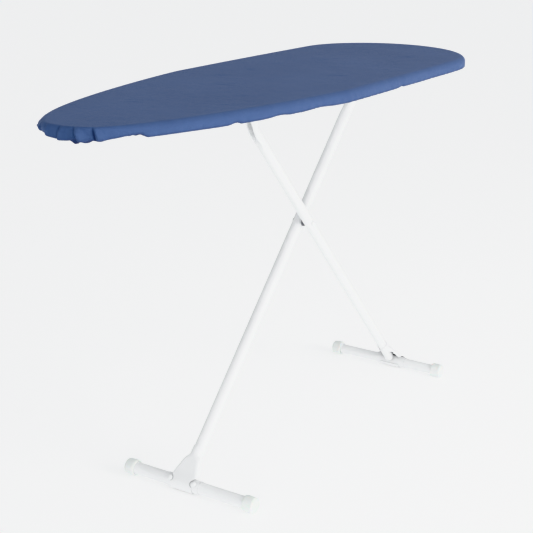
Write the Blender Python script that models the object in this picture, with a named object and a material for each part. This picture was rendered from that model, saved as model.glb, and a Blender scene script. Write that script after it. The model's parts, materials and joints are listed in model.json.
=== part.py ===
"""Free-standing ironing board: a padded, fabric-covered steel top on two crossing single-tube legs.

Metres, +Z up. The origin is on the floor under the middle of the board. The rounded nose points to
-X and the blunt heel to +X. The front leg stands under the nose and hinges on the board near the
heel. The rear leg stands under the heel, is pinned to the front leg where they cross, and carries
a rod at its top that slides along two slotted rails when the board is folded.
"""
import math

import bmesh
import bpy
from mathutils import Matrix, Vector

# Board
LENGTH = 1.370
WIDTH = 0.450
HEIGHT = 0.864
EDGE_DEPTH = 0.025
NOSE_RUN = 0.63
HEEL_RUN = 0.195
HEEL_TAPER = 0.08
NOSE_EASE = 1.13
NOSE_BLUNT = 0.395
SIDE_STEPS = 34

# Sheets and running gaps
GAP = 0.0004
COVER_T = 0.0012
PAD_T = 0.006
MESH_T = 0.0008
RIM_T = 0.0012
PLATE_T = 0.0015
EDGE_ROUND = 0.012
HEM_REACH = 0.028
RIM_INSET = 0.0022
RIM_DEPTH = 0.0075
VENT_R = 0.007
VENT_PITCH = 0.056

# Heights, from the ironing surface down
PAD_TOP = HEIGHT - COVER_T - GAP
MESH_TOP = PAD_TOP - PAD_T - GAP
UNDER = MESH_TOP - MESH_T - GAP
HEM_Z = HEIGHT - EDGE_DEPTH
RIM_BOTTOM = UNDER - RIM_DEPTH

# Legs: both lean at the same angle, and their upper arms are equal, so the top rod runs level
LEAN = math.radians(47.2)
LOWER_ARM = 0.667
FOOT_AXIS_Z = 0.018
PIN_OFFSET = 0.022
PIN_Z = UNDER - 0.0334
CROSS_X = 0.1435
LEG_SPREAD = 0.014
CROSS = Vector((CROSS_X, 0, FOOT_AXIS_Z + LOWER_ARM * math.sin(LEAN)))
UPPER_ARM = (PIN_Z - CROSS.z - PIN_OFFSET * math.cos(LEAN)) / math.sin(LEAN)
HINGE_X = CROSS_X + UPPER_ARM * math.cos(LEAN) - PIN_OFFSET * math.sin(LEAN)
SLIDE_X = 2 * CROSS_X - HINGE_X
FOLDED_SLIDE_X = HINGE_X - 2 * UPPER_ARM
WALL_T = 0.0012

# Pinched upper ends of the leg tubes, measured along the leg from the crossing
PINCH_START = 0.288
PINCH_FULL = 0.350
BEND_START = 0.330
END_PAST_PIN = 0.010
CHANNEL_HALF = 0.0095
CHANNEL_BACK = 0.011
CHANNEL_DEPTH = 0.012
PIN_BELOW_MIDDLE = 0.003

# Pins, rods and what sits on them
ROD_R = 0.004
HOLE_R = ROD_R + 0.0003
SPACER_R = 0.0065
ROLLER_R = 0.008
NUT_R = 0.0075
NUT_DEPTH = 0.0050
ROLLER_WIDTH = 0.0055
CHEEK_Y = 0.045
CHEEK_DROP = 0.0475
CHEEK_OUT = CHEEK_Y + PLATE_T + GAP
RACK_Y = 0.036
LEVER_Y = -0.078
LEVER_Z = 0.8270
LEVER_END = -0.162
GRIP_LENGTH = 0.044
LEVER_PIN_R = 0.0025
RAIL_NOSE_END = 0.015
RAIL_HEEL_END = 0.034
RAIL_NOSE_CUT = (0.030, 0.010)
RAIL_FLANGE = 0.018
SLOT_PAST_ROD = 0.0024
WASHER_R = 0.0105

# Feet
SLEEVE_HALF = 0.0435
SLEEVE_T = 0.0010
SADDLE_T = 0.0012
RIVET_Y = 0.031
RIVET_HEAD_R = 0.0068
CAP_R = 0.0185
CAP_LENGTH = 0.027
CAP_END = 0.006
FOOT_ROUND = 24


class Leg:
    """One leg's own directions and sizes: up the tube, square to it, and its place across."""

    def __init__(self, name, side, across, tube_r, foot_r, foot_length):
        self.name = name
        self.along = Vector((side * math.cos(LEAN), 0, math.sin(LEAN)))
        self.out = Vector((-side * math.sin(LEAN), 0, math.cos(LEAN)))
        self.across = across
        self.tube_r = tube_r
        self.foot_r = foot_r
        self.foot_length = foot_length

    def point(self, along, across, out):
        """A point given along the leg from the crossing, across it, and out from its middle."""
        return CROSS + along * self.along + out * self.out + Vector((0, self.across + across, 0))

    def foot_point(self, up, across, out):
        """The same, but measured up the leg from the foot tube's axis."""
        return self.point(up - LOWER_ARM, across, out)


FRONT = Leg("front", 1, LEG_SPREAD, 0.01325, 0.0138, 0.343)
REAR = Leg("rear", -1, -LEG_SPREAD, 0.0118, 0.0125, 0.331)

for old in list(bpy.data.objects):
    bpy.data.objects.remove(old, do_unlink=True)


# ------------------------------------------------------------------ materials and objects

def material(name, colour, roughness, metallic=0.0):
    mat = bpy.data.materials.new(name)
    mat.use_nodes = True
    shader = mat.node_tree.nodes["Principled BSDF"]
    shader.inputs["Base Color"].default_value = (*colour, 1)
    shader.inputs["Roughness"].default_value = roughness
    shader.inputs["Metallic"].default_value = metallic
    return mat


COTTON = material("blue_cotton", (0.040, 0.080, 0.205), 0.85)
CORD = material("white_cord", (0.75, 0.75, 0.72), 0.9)
FELT = material("grey_felt", (0.52, 0.52, 0.50), 0.95)
BOARD_PAINT = material("board_paint", (0.84, 0.85, 0.86), 0.45)
LEG_PAINT = material("leg_paint", (0.87, 0.88, 0.89), 0.25)
ZINC = material("zinc_plate", (0.62, 0.63, 0.64), 0.35, 1.0)
WHITE_PLASTIC = material("white_plastic", (0.82, 0.83, 0.82), 0.45)
CAP_PLASTIC = material("cap_plastic", (0.80, 0.83, 0.80), 0.30)
GREY_PLASTIC = material("grey_plastic", (0.25, 0.26, 0.28), 0.45)


def joint_empty(name, place):
    empty = bpy.data.objects.new(name, None)
    empty.location = place
    bpy.context.collection.objects.link(empty)
    return empty


BOARD = joint_empty("board_frame", (0, 0, 0))
FRONT_LEG = joint_empty("front_leg_hinge", (HINGE_X, 0, PIN_Z))
REAR_LEG = joint_empty("rear_leg_pivot", CROSS)
LEVER = joint_empty("lever_hinge", (SLIDE_X, LEVER_Y, LEVER_Z))


def as_mesh(name, bm, mat):
    """A bmesh as mesh data with outward faces, shaded smooth between its real edges."""
    bmesh.ops.recalc_face_normals(bm, faces=bm.faces)
    mesh = bpy.data.meshes.new(name)
    bm.to_mesh(mesh)
    bm.free()
    mesh.materials.append(mat)
    mesh.shade_smooth()
    mesh.set_sharp_from_angle(angle=math.radians(35))
    return mesh


def add(name, bm, mat, group):
    """An object whose mesh was made in world coordinates, with its origin on its group's joint."""
    mesh = as_mesh(name, bm, mat)
    mesh.transform(Matrix.Translation(-group.location))
    obj = bpy.data.objects.new(name, mesh)
    obj.parent = group
    bpy.context.collection.objects.link(obj)
    return obj


def place(name, mesh, group, location, rotation=None):
    """An object that shares a mesh made about its own origin."""
    obj = bpy.data.objects.new(name, mesh)
    obj.parent = group
    obj.location = Vector(location) - group.location
    if rotation is not None:
        obj.rotation_euler = rotation.to_euler()
    bpy.context.collection.objects.link(obj)
    return obj


def combine(obj, helper, operation):
    """Join a helper object to, or cut it from, an object; a helper is never a node itself."""
    helper.hide_render = True
    helper.display_type = "WIRE"
    modifier = obj.modifiers.new(operation.lower(), "BOOLEAN")
    modifier.operation = operation
    modifier.solver = "EXACT"
    modifier.object = helper


def helper_object(name, bm, group):
    return add(name + "_helper", bm, ZINC, group)


# ------------------------------------------------------------------ shape helpers

def skin(rings, looped=False):
    """A closed body through rings of points; looped joins the last ring to the first."""
    bm = bmesh.new()
    loops = [[bm.verts.new(p) for p in ring] for ring in rings]
    count = len(loops[0])
    pairs = list(zip(loops, loops[1:]))
    if looped:
        pairs.append((loops[-1], loops[0]))
    for low, high in pairs:
        for i in range(count):
            j = (i + 1) % count
            bm.faces.new((low[i], low[j], high[j], high[i]))
    if not looped:
        bm.faces.new(loops[0])
        bm.faces.new(loops[-1])
    return bm


def smooth_step(value, start, end):
    t = min(max((value - start) / (end - start), 0), 1)
    return t * t * (3 - 2 * t)


def turned(profile, steps=20, looped=False):
    """A body turned about the Y axis from (radius, y) points; looped for a profile that is closed."""
    rings = []
    for radius, y in profile:
        angles = [2 * math.pi * i / steps for i in range(steps)]
        rings.append([Vector((radius * math.cos(a), y, radius * math.sin(a))) for a in angles])
    return skin(rings, looped)


def ring_profile(inner, outer, low, high):
    return [(inner, low), (outer, low), (outer, high), (inner, high)]


def rod_y(radius, y0, y1, x, z, steps=16):
    """A plain round bar along Y."""
    bm = turned([(radius, y0), (radius, y1)], steps)
    bmesh.ops.translate(bm, vec=(x, 0, z), verts=bm.verts)
    return bm


def box(x0, x1, y0, y1, z0, z1):
    corners = [(x0, y0), (x1, y0), (x1, y1), (x0, y1)]
    return skin([[Vector((x, y, z)) for x, y in corners] for z in (z0, z1)])


def prism(points, axis, low, high):
    """An outline of (a, b) points pushed along an axis: X takes (y, z), Y takes (x, z)."""
    def at(p, depth):
        return Vector((depth, p[0], p[1])) if axis == "X" else Vector((p[0], depth, p[1]))
    return skin([[at(p, depth) for p in points] for depth in (low, high)])


def arc(centre, radius, start, end, steps):
    """Points on a circle between two angles in degrees."""
    points = []
    for i in range(steps + 1):
        a = math.radians(start + (end - start) * i / steps)
        points.append((centre[0] + radius * math.cos(a), centre[1] + radius * math.sin(a)))
    return points


# ------------------------------------------------------------------ board outline

def half_width(x):
    """Half the covered board's width: a blunt bullet nose, sides that taper to a rounded heel."""
    run = x + LENGTH / 2
    nose = 1 - (1 - min(run / NOSE_RUN, 1)) ** NOSE_EASE
    heel = max((run - (LENGTH - HEEL_RUN)) / HEEL_RUN, 0)
    taper = 1 - HEEL_TAPER * max(x / (LENGTH / 2), 0) ** 2
    return WIDTH / 2 * nose ** NOSE_BLUNT * math.sqrt(max(1 - heel ** 2, 0)) * taper


def board_outline():
    side = []
    for i in range(1, SIDE_STEPS):
        x = -LENGTH / 2 * math.cos(math.pi * i / SIDE_STEPS)
        side.append((x, half_width(x)))
    nose = [(-LENGTH / 2, 0)]
    heel = [(LENGTH / 2, 0)]
    return nose + [(x, -w) for x, w in side] + heel + [(x, w) for x, w in reversed(side)]


def inset_normals(points):
    """The inward direction at each point of an anticlockwise outline."""
    normals = []
    for i, _ in enumerate(points):
        before, after = points[i - 1], points[(i + 1) % len(points)]
        dx, dy = after[0] - before[0], after[1] - before[1]
        size = math.hypot(dx, dy)
        normals.append((-dy / size, dx / size))
    return normals


OUTLINE = board_outline()
INWARD = inset_normals(OUTLINE)


def board_ring(inset, z):
    return [Vector((p[0] + n[0] * inset, p[1] + n[1] * inset, z)) for p, n in zip(OUTLINE, INWARD)]


def board_body(profile, looped=False):
    """A body that follows the board's outline, from (inset, z) points."""
    return skin([board_ring(inset, z) for inset, z in profile], looped)


# ------------------------------------------------------------------ board: cover, pad and steel

def edge_arc(radius, start, end, steps):
    """The soft edge's round, as (inset, z) from the side (0 degrees) up to the top (90)."""
    centre_inset, centre_z = EDGE_ROUND, HEIGHT - EDGE_ROUND
    points = arc((0, 0), radius, start, end, steps)
    return [(centre_inset - x, centre_z + y) for x, y in points]


def make_cover():
    hem_round = 0.003
    outer = [(hem_round - x, HEM_Z + hem_round + y) for x, y in arc((0, 0), hem_round, -90, -15, 2)]
    outer = [(HEM_REACH, HEM_Z)] + outer + edge_arc(EDGE_ROUND, 0, 90, 4)
    inner_low = HEM_Z + COVER_T
    inner = [(HEM_REACH, inner_low), (hem_round, inner_low), (COVER_T, HEM_Z + hem_round)]
    inner += edge_arc(EDGE_ROUND - COVER_T, 0, 90, 4)
    bm = board_body(list(reversed(inner)) + outer)
    add("fabric_cover", bm, COTTON, BOARD)


def make_drawcord():
    cord_r = 0.0014
    centre = (HEM_REACH - 0.003, HEM_Z + COVER_T + GAP + cord_r)
    profile = arc(centre, cord_r, 0, 300, 5)
    add("hem_drawcord", board_body(profile, looped=True), CORD, BOARD)


def make_pad():
    radius = EDGE_ROUND - COVER_T - GAP
    bottom = PAD_TOP - PAD_T
    low_angle = math.degrees(math.asin((bottom - (HEIGHT - EDGE_ROUND)) / radius))
    add("foam_pad", board_body(edge_arc(radius, low_angle, 90, 4)), FELT, BOARD)


def vent_tool():
    """Rows of six-sided steam vents, every second row shifted by half a pitch."""
    bm = bmesh.new()
    row_gap = VENT_PITCH * math.sqrt(3) / 2
    rows = int(WIDTH / 2 / row_gap)
    columns = int(LENGTH / 2 / VENT_PITCH)
    for row in range(-rows, rows + 1):
        for column in range(-columns, columns + 1):
            x = (column + 0.5 * (row % 2)) * VENT_PITCH
            y = row * row_gap
            if abs(x) > LENGTH / 2 - 0.06 or abs(y) > half_width(x) - 0.045:
                continue
            place_at = Matrix.Translation((x, y, MESH_TOP - MESH_T / 2))
            bmesh.ops.create_cone(bm, cap_ends=True, segments=6, radius1=VENT_R, radius2=VENT_R,
                                  depth=0.004, matrix=place_at)
    return helper_object("vents", bm, BOARD)


def make_steel_top():
    sheet = board_body([(0.0035, MESH_TOP - MESH_T), (0.0035, MESH_TOP)])
    combine(add("vented_top", sheet, BOARD_PAINT, BOARD), vent_tool(), "DIFFERENCE")
    lip, ledge = 0.0055, 0.0250
    web = RIM_INSET + RIM_T
    corner = 0.0022
    profile = [(RIM_INSET + corner, RIM_BOTTOM), (RIM_INSET, RIM_BOTTOM + corner),
               (RIM_INSET, UNDER), (ledge, UNDER), (ledge, UNDER - RIM_T), (web, UNDER - RIM_T),
               (web, RIM_BOTTOM + corner), (web + RIM_T, RIM_BOTTOM + RIM_T),
               (lip, RIM_BOTTOM + RIM_T), (lip, RIM_BOTTOM)]
    add("edge_rim", board_body(profile, looped=True), BOARD_PAINT, BOARD)


def make_brace(name, x):
    """A hat-section brace across the board, welded under the rim's ledge."""
    brim, crown, depth = 0.016, 0.008, 0.008
    top = UNDER - RIM_T - GAP
    right = [(crown, top - depth + PLATE_T), (crown, top), (brim, top), (brim, top - PLATE_T),
             (crown + PLATE_T, top - PLATE_T), (crown + PLATE_T, top - depth)]
    left = [(-a, z) for a, z in reversed(right)]
    outline = [(x + a, z) for a, z in right + left]
    half = min(half_width(x - brim), half_width(x + brim)) - 0.007
    add(name, prism(outline, "Y", -half, half), BOARD_PAINT, BOARD)


# ------------------------------------------------------------------ under the board

def make_rail(name, side):
    """An angle with a long slot for the rear leg's rod, its lower corner cut off towards the nose."""
    x0, x1 = FOLDED_SLIDE_X - RAIL_NOSE_END, SLIDE_X + RAIL_HEEL_END
    web_out = CHEEK_Y + PLATE_T
    flange = CHEEK_Y + RAIL_FLANGE
    profile = [(CHEEK_Y, UNDER - CHEEK_DROP), (web_out, UNDER - CHEEK_DROP),
               (web_out, UNDER - PLATE_T), (flange, UNDER - PLATE_T), (flange, UNDER),
               (CHEEK_Y, UNDER)]
    profile = [(side * y, z) for y, z in profile]
    rail = add(name, prism(profile, "X", x0, x1), BOARD_PAINT, BOARD)
    cut_from, cut_to = side * CHEEK_Y - 0.004, side * CHEEK_Y + 0.004
    slot_r = ROD_R + GAP
    slot = arc((FOLDED_SLIDE_X - SLOT_PAST_ROD, PIN_Z), slot_r, 90, 270, 8)
    slot += arc((SLIDE_X + SLOT_PAST_ROD, PIN_Z), slot_r, -90, 90, 8)
    cutter = prism(slot, "Y", cut_from, cut_to)
    combine(rail, helper_object(name, cutter, BOARD), "DIFFERENCE")
    cut_length, cut_height = RAIL_NOSE_CUT
    end_x, low_z = x0 - 0.001, UNDER - CHEEK_DROP - 0.001
    corner = [(end_x, low_z), (end_x + cut_length, low_z), (end_x, low_z + cut_height)]
    cutter = prism(corner, "Y", cut_from, cut_to)
    combine(rail, helper_object(name + "_corner", cutter, BOARD), "DIFFERENCE")


def make_rack(name, side):
    """A notched strip just above the rod's path: one notch for each height of the board."""
    low = PIN_Z + SPACER_R + 0.0008
    notch_r, notch_count = 0.007, 5
    start, pitch = FOLDED_SLIDE_X + 0.02, 0.05
    bottom = []
    first = SLIDE_X - (notch_count - 1) * pitch
    for i in range(notch_count):
        bottom += arc((first + i * pitch, low), notch_r, 180, 0, 6)
    end = SLIDE_X + 0.030
    outline = [(start, low)] + bottom + [(end, low), (end, UNDER), (start, UNDER)]
    y0, y1 = sorted((side * RACK_Y, side * (RACK_Y + PLATE_T)))
    add(name, prism(outline, "Y", y0, y1), ZINC, BOARD)


def make_hinge_bracket():
    half, foot, eye = 0.046, 0.014, 0.011
    plate = box(HINGE_X - half, HINGE_X + half, -CHEEK_Y - PLATE_T, CHEEK_Y + PLATE_T,
                UNDER - PLATE_T, UNDER)
    bracket = add("hinge_bracket", plate, BOARD_PAINT, BOARD)
    for side in (-1, 1):
        cheek = [(HINGE_X - half, UNDER - PLATE_T / 2), (HINGE_X - foot, PIN_Z)]
        cheek += arc((HINGE_X, PIN_Z), eye, 200, 340, 8)
        cheek += [(HINGE_X + foot, PIN_Z), (HINGE_X + half, UNDER - PLATE_T / 2)]
        y0, y1 = sorted((side * CHEEK_Y, side * (CHEEK_Y + PLATE_T)))
        combine(bracket, helper_object("cheek", prism(cheek, "Y", y0, y1), BOARD), "UNION")
    hole = rod_y(HOLE_R, -0.06, 0.06, HINGE_X, PIN_Z)
    combine(bracket, helper_object("hinge_hole", hole, BOARD), "DIFFERENCE")


def mirrored_pair(name, mesh, group, x, y, z):
    """Two pieces that share a mesh: one at +y, and one turned half round at -y."""
    for side, sign in (("left", 1), ("right", -1)):
        turn = Matrix.Rotation(0 if sign > 0 else math.pi, 3, "Z")
        place(f"{name}_{side}", mesh, group, (x, sign * y, z), turn)


def make_cross_rod(prefix, leg, x, nut_y, group):
    """A cross rod with a spacer on each side of its leg and a nut on each end."""
    half = nut_y + NUT_DEPTH - 0.0003
    add(prefix + "_rod", rod_y(ROD_R, -half, half, x, PIN_Z), ZINC, group)
    leg_low, leg_high = leg.across - CHANNEL_HALF, leg.across + CHANNEL_HALF
    spans = {"right": (-CHEEK_Y + GAP, leg_low - GAP), "left": (leg_high + GAP, CHEEK_Y - GAP)}
    for side, (low, high) in spans.items():
        bm = turned(ring_profile(HOLE_R, SPACER_R, low, high), 16, looped=True)
        bmesh.ops.translate(bm, vec=(x, 0, PIN_Z), verts=bm.verts)
        add(f"{prefix}_spacer_{side}", bm, WHITE_PLASTIC, group)
    mirrored_pair(prefix + "_nut", nut_mesh(prefix + "_nut"), group, x, nut_y, PIN_Z)


def nut_mesh(name):
    """A pressed cap nut over a rod's end; its inner face is at y = 0."""
    profile = [(0.0002, 0.0070), (0.0015, 0.0069), (0.0040, 0.0065), (0.0056, 0.0050),
               (0.0060, 0.0022), (NUT_R, 0.0012), (NUT_R, 0), (HOLE_R, 0), (HOLE_R, NUT_DEPTH),
               (0.0002, NUT_DEPTH + 0.0004)]
    return as_mesh(name, turned(profile, 14), ZINC)


def roller_mesh():
    profile = ring_profile(HOLE_R, ROLLER_R, 0, ROLLER_WIDTH)
    return as_mesh("roller", turned(profile, 18, looped=True), WHITE_PLASTIC)


# ------------------------------------------------------------------ release lever

def ribbon(path, thickness):
    """The outline of a bent strip that follows a path of (y, z) points."""
    above, below = [], []
    for i, (y, z) in enumerate(path):
        before, after = path[max(i - 1, 0)], path[min(i + 1, len(path) - 1)]
        dy, dz = after[0] - before[0], after[1] - before[1]
        size = math.hypot(dy, dz)
        ny, nz = -dz / size * thickness / 2, dy / size * thickness / 2
        above.append((y + ny, z + nz))
        below.append((y - ny, z - nz))
    return above + below[::-1]


def make_lever():
    strip_t, boss_r = 0.0022, 0.0055
    x0, x1 = SLIDE_X - 0.012, SLIDE_X + 0.004
    pawl_z = PIN_Z - ROLLER_R - 0.0022
    path = [(-0.0490, pawl_z), (-0.0580, pawl_z), (-0.0660, pawl_z + 0.0030),
            (-0.0730, LEVER_Z - 0.0048), (-0.0800, LEVER_Z - 0.0030), (-0.0880, LEVER_Z + 0.0004),
            (-0.1040, LEVER_Z + 0.0022), (LEVER_END, LEVER_Z + 0.0022)]
    lever = add("release_lever", prism(ribbon(path, strip_t), "X", x0, x1), ZINC, LEVER)

    def round_x(radius, low, high):
        bm = turned([(radius, low), (radius, high)], 18)
        bmesh.ops.rotate(bm, matrix=Matrix.Rotation(-math.pi / 2, 3, "Z"), verts=bm.verts)
        bmesh.ops.translate(bm, vec=(SLIDE_X, LEVER_Y, LEVER_Z), verts=bm.verts)
        return bm

    combine(lever, helper_object("boss", round_x(boss_r, -0.012, 0.004), LEVER), "UNION")
    bore = round_x(LEVER_PIN_R + 0.0003, -0.03, 0.03)
    combine(lever, helper_object("bore", bore, LEVER), "DIFFERENCE")
    add("lever_pin", round_x(LEVER_PIN_R, -0.0175, 0.0175), ZINC, BOARD)

    grip_z = LEVER_Z + 0.0022
    grip_y, grip_half = LEVER_END - 0.006, 0.004
    grip = box(SLIDE_X - 0.034, SLIDE_X + 0.026, grip_y, grip_y + GRIP_LENGTH,
               grip_z - grip_half, grip_z + grip_half)
    bmesh.ops.bevel(grip, geom=list(grip.edges), offset=0.0025, segments=2, affect="EDGES")
    grip = add("lever_grip", grip, GREY_PLASTIC, LEVER)
    pocket = box(x0 - GAP, x1 + GAP, LEVER_END - 0.0015, LEVER_END + GRIP_LENGTH,
                 grip_z - strip_t / 2 - GAP, grip_z + strip_t / 2 + GAP)
    combine(grip, helper_object("pocket", pocket, LEVER), "DIFFERENCE")

    ear_x, ear_half = 0.0135, 0.0095
    plate = box(SLIDE_X - ear_x - PLATE_T, SLIDE_X + ear_x + PLATE_T, LEVER_Y - 0.016,
                LEVER_Y + 0.012, UNDER - PLATE_T, UNDER)
    bracket = add("lever_bracket", plate, BOARD_PAINT, BOARD)
    ear = [(LEVER_Y - ear_half, UNDER - PLATE_T / 2)]
    ear += arc((LEVER_Y, LEVER_Z), 0.0065, 180, 360, 8)
    ear += [(LEVER_Y + ear_half, UNDER - PLATE_T / 2)]
    for side in (-1, 1):
        low, high = sorted((SLIDE_X + side * ear_x, SLIDE_X + side * (ear_x + PLATE_T)))
        combine(bracket, helper_object("ear", prism(ear, "X", low, high), BOARD), "UNION")
    holes = round_x(LEVER_PIN_R + 0.0003, -0.02, 0.02)
    combine(bracket, helper_object("ear_holes", holes, BOARD), "DIFFERENCE")


def make_lever_spring():
    """A torsion spring wound round the lever's pin."""
    turns, steps, wire_r, coil_r, sides = 4, 14, 0.0006, 0.0044, 6
    low, high = 0.0055, 0.0118
    rings = []
    for i in range(turns * steps + 1):
        a = 2 * math.pi * i / steps
        x = SLIDE_X + low + (high - low) * i / (turns * steps)
        radial = Vector((0, math.cos(a), math.sin(a)))
        centre = Vector((x, LEVER_Y, LEVER_Z)) + coil_r * radial
        ring = []
        for j in range(sides):
            b = 2 * math.pi * j / sides
            ring.append(centre + wire_r * (math.cos(b) * radial + math.sin(b) * Vector((1, 0, 0))))
        rings.append(ring)
    add("lever_spring", skin(rings), ZINC, BOARD)


# ------------------------------------------------------------------ leg tubes

def channel_section(shrink):
    """The pinched end's section as (across, out), from the middle of its back all the way round."""
    half, back, depth = CHANNEL_HALF - shrink, CHANNEL_BACK - shrink, CHANNEL_DEPTH - shrink
    fold = 0.0034 - 2 * shrink
    roof = 0.0040 + shrink
    points = []
    for i in range(8):
        a = math.radians(90 * i / 7)
        points.append((half * math.sin(a) ** 0.7, back * math.cos(a) ** 0.7 if i < 7 else 0.0))
    points += [(half, -0.45 * depth), (half, -0.8 * depth), (half - fold / 2, -depth),
               (half - fold, -0.8 * depth), (half - fold, -0.3 * depth),
               (half - fold - 0.0006, roof - 0.0012), (0, roof)]
    return points + [(-a, o) for a, o in reversed(points[1:-1])]


def tube_section(radius, shrink, pinch):
    """A round tube's section, turned into the pinched channel as pinch goes from 0 to 1."""
    channel = channel_section(shrink)
    section = []
    for i, (a, o) in enumerate(channel):
        angle = 2 * math.pi * i / len(channel)
        round_a, round_o = (radius - shrink) * math.sin(angle), (radius - shrink) * math.cos(angle)
        section.append((round_a + (a - round_a) * pinch, round_o + (o - round_o) * pinch))
    return section


def leg_ring(leg, along, shrink):
    pinch = smooth_step(along, PINCH_START, PINCH_FULL)
    bend = max(along - BEND_START, 0) / (UPPER_ARM - BEND_START)
    lift = (PIN_OFFSET + PIN_BELOW_MIDDLE) * bend ** 1.6
    return [leg.point(along, a, o + lift) for a, o in tube_section(leg.tube_r, shrink, pinch)]


def make_leg_tube(leg, group):
    foot_gap = leg.foot_r + SLEEVE_T + SADDLE_T + 0.003
    top = UPPER_ARM + END_PAST_PIN
    stations = [foot_gap - LOWER_ARM, -0.02, 0.02, PINCH_START]
    count = 12
    stations += [PINCH_START + (top - PINCH_START) * (i + 1) / count for i in range(count)]
    outer = [leg_ring(leg, s, 0) for s in stations]
    inner = [leg_ring(leg, s, WALL_T) for s in stations]
    tube = add(f"{leg.name}_leg_tube", skin(outer + inner[::-1], looped=True), LEG_PAINT, group)
    pin = leg.point(UPPER_ARM, 0, PIN_OFFSET)
    holes = rod_y(HOLE_R, -0.05, 0.05, pin.x, pin.z)
    combine(tube, helper_object(leg.name + "_pin_hole", holes, group), "DIFFERENCE")
    holes = rod_y(HOLE_R, -0.05, 0.05, CROSS.x, CROSS.z)
    combine(tube, helper_object(leg.name + "_cross_hole", holes, group), "DIFFERENCE")


def make_crossing():
    """The rivet through both legs, domed on the near side, and the washer that keeps the tubes apart."""
    near = REAR.across - REAR.tube_r - GAP
    far = FRONT.across + FRONT.tube_r + GAP
    profile = [(0.0002, near - 0.0034), (0.0034, near - 0.0028), (0.0055, near - 0.0014),
               (0.0062, near), (ROD_R, near), (ROD_R, far), (0.0050, far), (0.0044, far + 0.0006),
               (0.0002, far + 0.0010)]
    bm = turned(profile, 20)
    bmesh.ops.translate(bm, vec=(CROSS.x, 0, CROSS.z), verts=bm.verts)
    add("crossing_rivet", bm, LEG_PAINT, FRONT_LEG)
    low, high = REAR.across + REAR.tube_r + GAP, FRONT.across - FRONT.tube_r - GAP
    bm = turned(ring_profile(HOLE_R, WASHER_R, low, high), 20, looped=True)
    bmesh.ops.translate(bm, vec=(CROSS.x, 0, CROSS.z), verts=bm.verts)
    add("crossing_washer", bm, GREY_PLASTIC, FRONT_LEG)


# ------------------------------------------------------------------ feet

def foot_bar(leg, inner, outer, low, high):
    """A hollow round bar along the foot, about the foot's axis."""
    centre = leg.foot_point(0, 0, 0)
    bm = turned(ring_profile(inner, outer, low, high), FOOT_ROUND, looped=True)
    bmesh.ops.translate(bm, vec=(centre.x, 0, centre.z), verts=bm.verts)
    return bm


def out_rotation(leg):
    """Turns the Y axis to the leg's outward direction."""
    return Vector((0, 1, 0)).rotation_difference(leg.out).to_matrix()


def make_foot(leg, group):
    half = leg.foot_length / 2 - CAP_END
    bar = foot_bar(leg, leg.foot_r - WALL_T, leg.foot_r, -half, half)
    bar = add(f"{leg.name}_foot_tube", bar, LEG_PAINT, group)
    sleeve_in = leg.foot_r + GAP
    sleeve_out = sleeve_in + SLEEVE_T
    sleeve = foot_bar(leg, sleeve_in, sleeve_out, leg.across - SLEEVE_HALF,
                      leg.across + SLEEVE_HALF)
    sleeve = add(f"{leg.name}_foot_sleeve", sleeve, LEG_PAINT, group)

    seat = sleeve_out + GAP
    profile = [(0.0002, seat + 0.0032), (0.0036, seat + 0.0028), (0.0060, seat + 0.0015),
               (RIVET_HEAD_R, seat), (0.0024, seat), (0.0024, seat - 0.0062),
               (0.0002, seat - 0.0062)]
    rivet = as_mesh(leg.name + "_foot_rivet", turned(profile, 18), LEG_PAINT)
    for side, sign in (("left", 1), ("right", -1)):
        centre = leg.foot_point(0, sign * RIVET_Y, 0)
        place(f"{leg.name}_foot_rivet_{side}", rivet, group, centre, out_rotation(leg))
        hole = turned([(0.0027, 0.004), (0.0027, 0.03)], 14)
        bmesh.ops.rotate(hole, matrix=out_rotation(leg), verts=hole.verts)
        bmesh.ops.translate(hole, vec=centre, verts=hole.verts)
        cutter = helper_object(leg.name + "_rivet_hole", hole, group)
        combine(bar, cutter, "DIFFERENCE")
        combine(sleeve, cutter, "DIFFERENCE")

    axis = leg.foot_point(0, 0, 0)
    mirrored_pair(leg.name + "_foot_cap", cap_mesh(leg), group, axis.x, leg.foot_length / 2, axis.z)


def cap_mesh(leg):
    """A moulded cap over the tube's end, nearly flat at its outer end (y = 0), with a flat sole."""
    bore = leg.foot_r + GAP
    profile = [(0.0004, 0), (0.0120, -0.0002), (0.0155, -0.0012), (0.0175, -0.0035),
               (CAP_R - 0.0004, -0.0110), (CAP_R, -CAP_LENGTH + 0.004),
               (CAP_R - 0.0006, -CAP_LENGTH + 0.001), (CAP_R - 0.0016, -CAP_LENGTH),
               (bore, -CAP_LENGTH), (bore, -CAP_END + GAP), (0.0004, -CAP_END + GAP)]
    bm = turned(profile, FOOT_ROUND)
    cut = bmesh.ops.bisect_plane(bm, geom=bm.verts[:] + bm.edges[:] + bm.faces[:], dist=1e-6,
                                 plane_co=(0, 0, -FOOT_AXIS_Z), plane_no=(0, 0, -1),
                                 clear_outer=True)
    rim = [item for item in cut["geom_cut"] if isinstance(item, bmesh.types.BMEdge)]
    bmesh.ops.contextual_create(bm, geom=rim)
    return as_mesh(leg.name + "_foot_cap", bm, CAP_PLASTIC)


# ------------------------------------------------------------------ foot saddles

def saddle_half_width(leg, height):
    """Half the saddle's width at a height up the leg, with a round bite for each rivet."""
    bite = 0.0092
    if abs(height) < bite * 0.93:
        return RIVET_Y - math.sqrt(bite ** 2 - height ** 2)
    if height < 0:
        return 0.0285
    top, neck = 0.020, 0.066
    narrow = leg.tube_r + 0.0018
    if height < top:
        return 0.0285 + 0.0025 * smooth_step(height, 0.009, top)
    return 0.031 + (narrow - 0.031) * min((height - top) / (neck - top), 1)


def flat_section(half, face):
    shares = (0, 0.30, 0.55, 0.75, 0.85, 0.92, 0.96, 0.98, 1)
    return [(share * half, face) for share in shares]


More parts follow.
